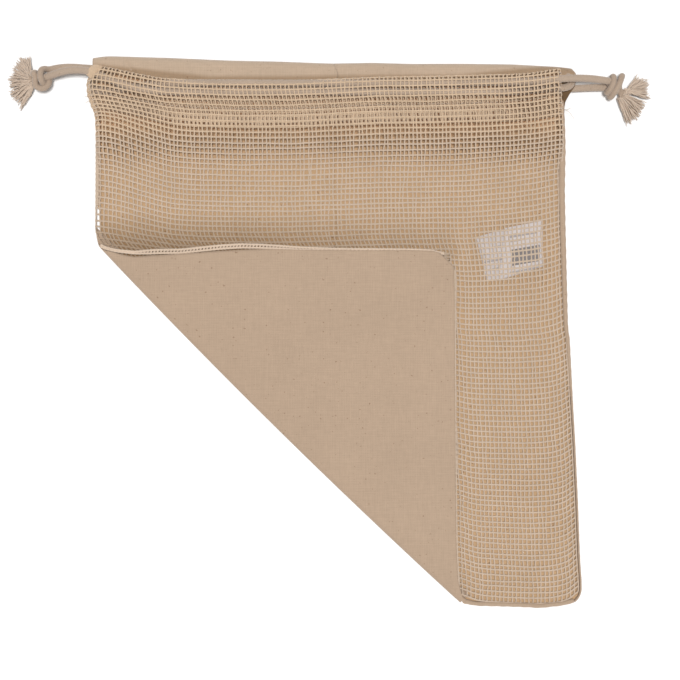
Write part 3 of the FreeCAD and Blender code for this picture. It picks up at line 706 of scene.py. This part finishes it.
def cotton_half(name, first, last, keep):
    """The back cotton between two of its columns, with its casing folded forward."""
    u = np.arange(first, last)[None] / COTTON_COLUMNS
    guess = across_mm(u)
    top = along_table(COTTON_TOP, guess)
    for _ in range(4):
        bottom = np.maximum(along_table(COTTON_BOTTOM, guess, 1.5),
                            np.where(guess < 88, crease_line_y(guess)
                                     + 3.6 * (1 - smooth(guess, 72, 84)), -999))
        guess = cotton_left(bottom) + (cotton_right(bottom) - cotton_left(bottom)) * u
    v = np.linspace(0, 1, FLAT_ROWS)[:, None]
    flat_y = bottom + (top - bottom) * v
    section = np.array(BACK_SECTION)
    fold = np.linspace(0, 1, 34)[1:, None]
    reach = lengths(section)
    dy = np.interp(fold * reach[-1], reach, section[:, 0])
    z = np.interp(fold * reach[-1], reach, section[:, 1])
    y = np.concatenate([flat_y, top + dy * np.ones_like(u)])
    rise = 1.6 * smooth(flat_y - top, -2.6, 0) ** 2
    height = np.concatenate([0.3 + rise, z * np.ones_like(u)])
    folded = slice(FLAT_ROWS, None)
    height[folded] += (0.22 * waviness(guess * 2.5, y[folded] * 2.5, 3)
                       * smooth(y[folded], 150, 158))
    left, right = cotton_left(y), cotton_right(y)
    x = left + (right - left) * u
    creases = sum(depth * np.exp(-((x - place - (y - 168) * lean) / wide) ** 2)
                  for place, lean, wide, depth in
                  [(-130, -0.7, 1.6, -0.9), (-148, -0.3, 1.4, -0.7), (-122, 0.8, 2.5, 0.7)])
    creases = creases * smooth(y, 158, 166) * (1 - smooth(y, 172, 176))
    height[folded] += creases[folded]
    grid = np.stack([x, y, height], -1)
    obj = shell(name, grid, COTTON_THICK, BACK_COTTON, keep)
    return obj


def flap_edges(d):
    """Along-crease places of the flap's two outer edges at each distance d over the bag."""
    top = np.array([crease_place(x, y) for x, y in FLAP_TOP])
    right = np.array([crease_place(x, y) for x, y in FLAP_RIGHT])
    order_top, order_right = np.argsort(-top[:, 1]), np.argsort(-right[:, 1])
    a = np.interp(d, -top[order_top, 1], top[order_top, 0])
    b = np.interp(d, -right[order_right, 1], right[order_right, 0])
    return a, b


def flap_cotton():
    """The turned-up corner: its cotton side lies up, and it rolls round the crease."""
    radius, reach = 2.65, 146.5
    turn, lying = np.linspace(0, math.pi, 15), np.linspace(1, reach, 120)
    depth = np.concatenate([[-4.5, -2.2], radius * np.sin(turn), -lying])
    height = np.concatenate([[0.32, 0.31], HINGE_HIGH - radius * np.cos(turn), 0 * lying + 5.6])
    swell = np.concatenate([[0, 0], np.sin(turn), 0 * lying])
    back = -depth
    u = 0.5 - 0.5 * np.cos(math.pi * np.linspace(0, 1, 170)[None])
    low, high = flap_edges(back)
    rolled = 2 + len(turn)
    low[:rolled] = np.concatenate([[-10.6, -9.2], np.linspace(-6.5, low[rolled - 1], len(turn))])
    high[:rolled] = np.concatenate([[324, 323], np.linspace(322, high[rolled - 1], len(turn))])
    along = low[:, None] + (high - low)[:, None] * u
    out = depth[:, None] + swell[:, None] * bow(along)
    x = CREASE_START[0] + along * CREASE_ALONG[0] + out * CREASE_OUT[0]
    y = CREASE_START[1] + along * CREASE_ALONG[1] + out * CREASE_OUT[1]
    z = np.broadcast_to(height[:, None], x.shape).copy()
    upper = slice(rolled, None)
    edge = np.minimum(np.minimum(along - low[:, None], high[:, None] - along),
                      (reach - back)[:, None] + 6)
    lay = 0.3 * (waviness(x, y, 5) - 0.6) * smooth(edge, 3, 25) + 0.2
    lay = lay - 1.0 * (1 - smooth(edge, 0, 1.6))
    z[upper] += lay[upper] * smooth(back[upper], 0, 6)[:, None]
    obj = shell("corner_flap_cotton", np.stack([x, y, z], -1), COTTON_THICK, COTTON)
    return obj


# ---------------------------------------------------------------- net
WARPS, ROWS, ROW_PITCH = 112, 99, 3.37
HALF_ROW = 58  # where the net is cut into an upper and a lower half
RISE = (103, 131)  # y between which the net climbs to the casing
HEM_ROWS = 11
NET_SECTION = [  # from the top fold: dy and height above the net's own level, from outside in
    (-60, 0), (-40, 0), (-31, 0.4), (-28.5, 1.1), (-24, 1.3), (-17, 1.4), (-14.8, 2.9),
    (-11.2, 4.9), (-6.5, 5.5), (-3.2, 5.2), (-0.8, 4.1), (0, 2.7), (-0.8, 1.0), (-3, 0.1),
    (-8, -0.3), (-15, -0.3), (-18, -0.2), (-28, -0.2), (-28.8, 0.2), (-28, 0.6), (-18, 0.6)]
FOLD_STEP, STITCH_STEP = 11, 5
NET_PARTS = ("left_upper", "left_lower", "right_upper", "right_lower", "flap_left", "flap_low")


def net_level(x, y):
    """Height of the net's middle: it lies on the back below and rises to the casing."""
    _, beyond = crease_place(x, y)
    over_label = smooth(x, 84, 92) * (1 - smooth(x, 133, 139)) * smooth(y, 27, 35)
    over_label = over_label * (1 - smooth(y, 69, 76))
    lying = 1.4 + 0.9 * smooth(beyond, -12, -1) + 0.75 * over_label
    return lying + (11.7 - lying) * smooth(y, RISE[0], RISE[1])


def net_surface(u, row):
    """The net in mm. u goes across, 0 to 1, and row counts up from the bottom seam."""
    section = np.array(NET_SECTION)
    reach = lengths(section)
    reach = reach - reach[FOLD_STEP]
    guess = across_mm(u)
    top, bottom = along_table(TOP_EDGE, guess), along_table(BOTTOM_EDGE, -140 + 294 * u, 3)
    arc = (row - ROWS) * ROW_PITCH
    even = reach[1] + 4  # the rows below this length are spread evenly down to the bottom
    knee = np.interp(even, reach, section[:, 0])
    dy = np.where(arc < even,
                  knee + (arc - even) * (top + knee - bottom) / (ROWS * ROW_PITCH + even),
                  np.interp(arc, reach, section[:, 0]))
    rise = np.interp(arc, reach, section[:, 1])
    y = top + dy
    # the rows slope down beside the left seam and up towards the right one
    y = y + 4.95 * (1 - smooth(guess, -152, -95)) * smooth(y, 40, 95) * (1 - smooth(y, 128, 150))
    y = y + 4 * smooth(guess, 60, 147) * smooth(y, -20, 60) * (1 - smooth(y, 100, 130))
    left, right = along_table(LEFT_EDGE, y), along_table(RIGHT_EDGE, np.maximum(y, -163)) - 2.0
    x = left + (right - left) * u
    z = net_level(x, y) + rise
    outside = arc < 0
    ends = smooth(-x, 96, 122) + smooth(x, 98, 122)
    z = z - np.where(outside, 0, ends * 4.6 * smooth(y, 124, 134))
    seam = np.minimum(x - left, right + 2 - x)
    z = z - np.where(outside, (z - 3.2) * (1 - smooth(seam, -1, 7)) ** 1.6, 0)
    z = z + 0.16 * waviness(x * 1.6, y * 1.6, 11) * smooth(seam, 0, 12)
    along, beyond = crease_place(x, y)
    radius = 0.65
    angle = np.clip(beyond / radius, 0, math.pi)
    folded = np.where(beyond > math.pi * radius, math.pi * radius - beyond,
                      radius * np.sin(angle) * (1 + bow(along) / radius * 0.8))
    out = np.where(beyond > 0, folded, beyond)
    x = x + (out - beyond) * CREASE_OUT[0]
    y = y + (out - beyond) * CREASE_OUT[1]
    z = np.where(beyond > 0, HINGE_HIGH - radius * np.cos(angle), z)
    return np.stack([x, y, z], -1), beyond


def thread_rings(u, row, across, radius, sides, lift, twist=None, lobes=0.0, flat=1.0):
    """Rings of threads on the net. across is 'u' or 'row', the way their side points."""
    du, drow = (0.002, 0) if across == "u" else (0, 0.2)
    middle, beyond = net_surface(u, row)
    side = net_surface(u + du, row + drow)[0] - net_surface(u - du, row - drow)[0]
    along = np.gradient(middle, axis=-2)
    middle = middle + unit(np.cross(side, along)) * lift[..., None]
    return ring_sides(middle, side, radius, sides, twist, lobes, flat), beyond


def wander(random, shape, reach, scale):
    """Slow sideways drift along each of many threads."""
    drift = random.normal(0, 0.10, shape)
    return sum(np.roll(drift, k, 1) for k in range(-reach, reach + 1)) / scale


def net_pieces():
    """The net as real threads: straight wefts, and warps twisted round them."""
    jitter = np.random.default_rng(21)
    step = 3
    rows = np.arange(0, (ROWS + HEM_ROWS) * step + 1) / step
    warp_u = np.arange(WARPS + 1)[:, None] / WARPS
    u = warp_u + wander(jitter, (WARPS + 1, len(rows)), 6, 3.6) / WARPS * 0.9
    # the layers inside the casing lie out of step with the outer one
    shift = 0.45 * smooth(rows, ROWS - 0.5, ROWS + 1.5) + 0.3 * smooth(rows, ROWS + 7, ROWS + 9)
    u = np.clip(u + shift / WARPS, 0.001, 0.999)
    r = np.broadcast_to(rows[None], u.shape)
    lift = 0.16 * np.cos(math.pi * r + math.pi * np.arange(WARPS + 1)[:, None])
    warps, warp_beyond = thread_rings(u, r, "u", 0.50, 6, lift, twist=math.pi * r, lobes=0.22,
                                      flat=0.85)
    cols = np.arange(0, WARPS * 2 + 1) / (WARPS * 2)
    row0 = np.arange(0, ROWS + HEM_ROWS + 1, dtype=float)[:, None]
    drift = wander(jitter, (len(row0), len(cols)), 7, 3.9)
    spacing = jitter.normal(0, 0.05, (len(row0), 1))
    wr = np.clip(row0 + drift * 0.35 + spacing, 0, ROWS + HEM_ROWS)
    wu = np.broadcast_to(np.clip(cols, 0.001, 0.999)[None], wr.shape)
    wave = -0.12 * np.cos(math.pi * wu * WARPS + math.pi * row0)
    wefts, weft_beyond = thread_rings(wu, wr, "row", 0.56, 6, wave, flat=0.85)
    threads = []
    for rings, beyond, frac, up in ((warps, warp_beyond, warp_u, rows[None, :-1]),
                                    (wefts, weft_beyond, cols[None, :-1], row0)):
        flap = np.maximum(beyond[:, 1:], beyond[:, :-1]) > -3
        left = np.broadcast_to(frac < 0.5, flap.shape)
        upper = np.broadcast_to(up >= HALF_ROW, flap.shape)
        masks = (~flap & left & upper, ~flap & left & ~upper, ~flap & ~left & upper,
                 ~flap & ~left & ~upper, flap & left, flap & ~left)
        threads.append((rings, dict(zip(NET_PARTS, masks))))
    made = {}
    for name in NET_PARTS:
        pile = Pile()
        for rings, masks in threads:
            rings_mesh(pile, rings, masks[name])
        made[name] = pile.build(f"net_{name}", NET)
    return made


# ---------------------------------------------------------------- seams, label, stitches, ends
def ridge(name, path, half_wide, half_high, material, sides=14, beads=0.0, bead_long=2.4):
    """A flattened roll of cloth along a path in mm, such as an overlocked seam."""
    path = np.asarray(path, float)
    s = lengths(path)
    along = unit(np.gradient(path, axis=0))
    side = unit(np.cross(along, (0, 0, 1.0)))
    up = np.cross(side, along)
    angle = np.arange(sides) * 2 * math.pi / sides
    swell = 1 + beads * np.cos(s * 2 * math.pi / bead_long) + 0.06 * np.sin(s * 0.9)
    wide = (half_wide * swell)[:, None] * np.cos(angle)
    high = (half_high * swell)[:, None] * np.sin(angle)
    rings = path[:, None] + side[:, None] * wide[..., None] + up[:, None] * high[..., None]
    pile = Pile()
    rings_mesh(pile, rings[None])
    obj = pile.build(name, material)
    return obj


def flap_piping():
    """The folded edge of the corner's net: two strands with bars, closer together towards its ends.
    """
    x = np.arange(-148.6, 70.0, 0.35)
    y = along_table(PIPING, x, 2) - 0.35
    half = np.interp(x, [-149, -128, -116, -50, -20, 10, 70],
                     [0.5, 0.55, 1.05, 1.05, 0.75, 0.5, 0.4])
    pile = Pile()
    for place in (1, -1):
        strand = np.stack([x, y + place * half, 4.75 + 0.1 * np.cos(x * 2.3 + place)], -1)
        side = np.broadcast_to((0.0, 1.0, 0), strand.shape)
        rings_mesh(pile, ring_sides(strand, side, 0.72, 8, twist=x * 1.4, lobes=0.12)[None])
    bars = np.arange(-148.0, 69.0, 2.1)
    t = np.linspace(-1, 1, 5)[None, :]
    long = np.interp(bars, x, half)[:, None] * t
    paths = np.stack([bars[:, None] + 0.5 * t, np.interp(bars, x, y)[:, None] + long,
                      np.full_like(long, 4.8)], -1)
    side = np.broadcast_to((1.0, 0, 0), paths.shape)
    rings_mesh(pile, ring_sides(paths, side, 0.55, 6))
    obj = pile.build("flap_side_seam_piping", PIPING_COTTON)
    return obj


def make_seams():
    """The rolled seams: left, right and bottom of the bag, then both of the folded corner."""
    y = np.arange(81.0, 158.5, 0.6)
    wide = np.interp(y, [81, 130, 141, 152, 158], [1.15, 1.2, 2.3, 2.7, 1.6])
    x = along_table(LEFT_EDGE, y) + wide - 0.25
    high = 1.5 + 1.2 * smooth(y, 118, 148) + 2.2 * smooth(y, 136, 150)
    left = ridge("left_seam_roll", np.stack([x, y, high], -1), wide, 1.35, NET, beads=0.10,
                 bead_long=ROW_PITCH)
    y = np.arange(-171.5, 148.0, 0.6)
    wide = np.interp(y, [-172, -43, 3, 60, 118, 148], [0.7, 0.8, 1.5, 1.9, 2.2, 1.5])
    x = along_table(RIGHT_EDGE, y) - wide
    right = ridge("right_seam_roll", np.stack([x, y, 1.7 + 1.3 * smooth(y, 118, 148)], -1),
                  wide, 1.6, COTTON)
    x = np.arange(79.0, 153.0, 0.6)
    y = along_table(COTTON_BOTTOM, x, 1.5) + 1.4
    bottom = ridge("bottom_seam_roll", np.stack([x, y, np.full_like(x, 1.45)], -1), 1.4, 1.35,
                   COTTON)
    side = flap_piping()
    y = np.arange(-160.0, 40.0, 0.5)
    x = along_table([(py, px) for px, py in FLAP_RIGHT], y, 2) - 0.3
    low = ridge("flap_bottom_seam_roll", np.stack([x, y, np.full_like(y, 4.6)], -1), 0.9, 0.75,
                NET, beads=0.1, bead_long=ROW_PITCH)
    return left, right, bottom, side, low


def four_sided(corners, cols, rows):
    """(plan, u, v): an even grid of points between four corners, and its two fractions."""
    u, v = np.meshgrid(np.linspace(0, 1, cols), np.linspace(0, 1, rows))
    a, b, c, d = (np.array(p, float) for p in corners)
    u3, v3 = u[..., None], v[..., None]
    return (a * (1 - u3) + b * u3) * (1 - v3) + (d * (1 - u3) + c * u3) * v3, u, v


def leaf(name, corners, height, curl):
    """One leaf of the folded label, from its four corners."""
    plan, u, v = four_sided(corners, 26, 30)
    z = height + curl * np.sin(u * 3.1) * np.sin(v * 2.6 + 0.3)
    obj = shell(name, np.concatenate([plan, z[..., None]], -1), 0.2, LABEL)
    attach(obj, "bag")
    return obj


def dashes(name, middles, directions, long, thick):
    """Sewing stitches: short threads that dive into the cloth at both ends."""
    pile = Pile()
    t = np.linspace(-1, 1, 7)
    paths = middles[:, None] + directions[:, None] * (t * long / 2)[None, :, None]
    paths[..., 2] -= 0.35 * t ** 4
    side = np.broadcast_to(np.cross(directions, (0, 0, 1.0))[:, None], paths.shape)
    rings_mesh(pile, ring_sides(paths, side, thick / 2, 6))
    obj = pile.build(name, THREAD)
    return obj


def casing_stitches(half, low, high):
    """The row of stitches that closes the front casing, and the one that closes the back one."""
    u = np.arange(low, high, 0.0102)
    reach = lengths(np.array(NET_SECTION))
    row = ROWS + (reach[STITCH_STEP] - reach[FOLD_STEP]) / ROW_PITCH
    middle = net_surface(u, row)[0] + np.array((0, 0, 0.66))
    along = unit(net_surface(u + 0.003, row)[0] - net_surface(u - 0.003, row)[0])
    front = dashes(f"front_stitches_{half}", middle, along, 2.1, 0.42)
    x = across_mm(u)
    y = along_table(COTTON_TOP, x) - 26.4
    middle = np.stack([x, y, np.full_like(x, 1.35)], -1)
    along = unit(np.gradient(middle, axis=0))
    back = dashes(f"back_stitches_{half}", middle, along, 2.1, 0.42)
    return front, back


def end_patch():
    """The selvedge that is turned in at the left end of the front casing, over the cord."""
    plan, u, v = four_sided([(-150.9, 168.6), (-157.4, 163.8), (-152.4, 158.9), (-145.4, 167.4)],
                            40, 40)
    z = 17.6 - 1.6 * (2 * v - 1) ** 2 - 3.0 * u ** 3 - 1.2 * (1 - u) ** 4
    z = z + 0.16 * np.cos(v * 2 * math.pi * 8)
    obj = shell("left_end_selvedge", np.concatenate([plan, z[..., None]], -1), 0.5, NET)
    return obj


def loose_threads(name, paths):
    """Thin stray threads along paths in mm."""
    pile = Pile()
    for path in paths:
        points = nurbs_points(name, path, 8)
        rings_mesh(pile, ring_sides(points, carried_side(points), 0.11, 5)[None])
    obj = pile.build(name, THREAD)
    return obj


def blend_mouth(obj):
    """Bakes the cloth's placement into its mesh."""
    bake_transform(obj)


cotton_left_half = cotton_half("cotton_left_half", 0, 154, slice(0, -1))
cotton_right_half = cotton_half("cotton_right_half", 151, COTTON_COLUMNS + 1, slice(1, None))
flap_sheet = flap_cotton()
net = net_pieces()
left_seam, right_seam, bottom_seam, flap_side_seam, flap_bottom_seam = make_seams()
front_left, back_left = casing_stitches("left", 0.03, 0.505)
front_right, back_right = casing_stitches("right", 0.512, 0.97)
selvedge = end_patch()
left_threads = loose_threads("left_loose_threads", [
    [(-154.2, 147.2, 8), (-156.6, 146.4, 8.6), (-157.7, 145.4, 8.2)],
    [(-155, 149.6, 9), (-157.3, 148.8, 9.4), (-158.2, 149.6, 9)]])
right_threads = loose_threads("right_loose_threads", [
    [(146.2, 141.8, 6), (149, 140.2, 6.4), (151.2, 137.6, 5.6), (152.7, 135.6, 5)],
    [(146.4, 141.4, 5.4), (148.4, 141.6, 6), (150.2, 142.6, 5.6)]])
label_front = leaf("label_front_tape",
                   [(108.4, 66.6), (132.9, 71.4), (132.9, 42.0), (104.6, 33.2)], 1.6, 0.12)
label_back = leaf("label_back_tape", [(90.4, 60.8), (110.0, 66.6), (106.4, 33.6), (97.2, 33.0)],
                  1.15, 0.1)
label_thread = dashes("label_stitches",
                      np.array([(132.3, y, 1.72) for y in (46, 50, 54, 58, 62, 66)]),
                      np.tile((0, 1.0, 0), (6, 1)), 2.4, 0.3)

for piece, side in ((cotton_left_half, "left"), (cotton_right_half, "right"),
                    (net["left_upper"], "left"), (net["right_upper"], "right"),
                    (left_seam, "left"), (right_seam, "right"),
                    (front_left, "left"), (front_right, "right"),
                    (back_left, "left"), (back_right, "right")):
    blend_mouth(piece)
for piece in (selvedge, left_threads):
    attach(piece, "left_mouth_end")
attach(right_threads, "right_mouth_end")
for piece in (net["left_lower"], net["right_lower"], bottom_seam, label_thread):
    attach(piece, "bag")
for piece in (flap_side_seam, flap_bottom_seam):
    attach(piece, "corner_flap")
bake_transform(flap_sheet)
for name in ("flap_left", "flap_low"):
    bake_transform(net[name])

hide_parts("back_panel", "back_casing", "back_casing_left_end")
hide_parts("back_casing_right_end")
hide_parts("front_net_panel", "front_casing", "front_casing_left_end")
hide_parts("front_casing_right_end")
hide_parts("flap_back_panel")
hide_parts("flap_front_net")
for piece, node in ((left_seam, "left_side_seam"), (right_seam, "right_side_seam"),
                    (bottom_seam, "bottom_seam"), (flap_side_seam, "flap_side_seam"),
                    (flap_bottom_seam, "flap_bottom_seam"), (front_left, "front_casing_stitching"),
                    (back_left, "back_casing_stitching"), (label_front, "label_front_leaf"),
                    (label_back, "label_back_leaf"), (label_thread, "label_stitching")):
    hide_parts(node)
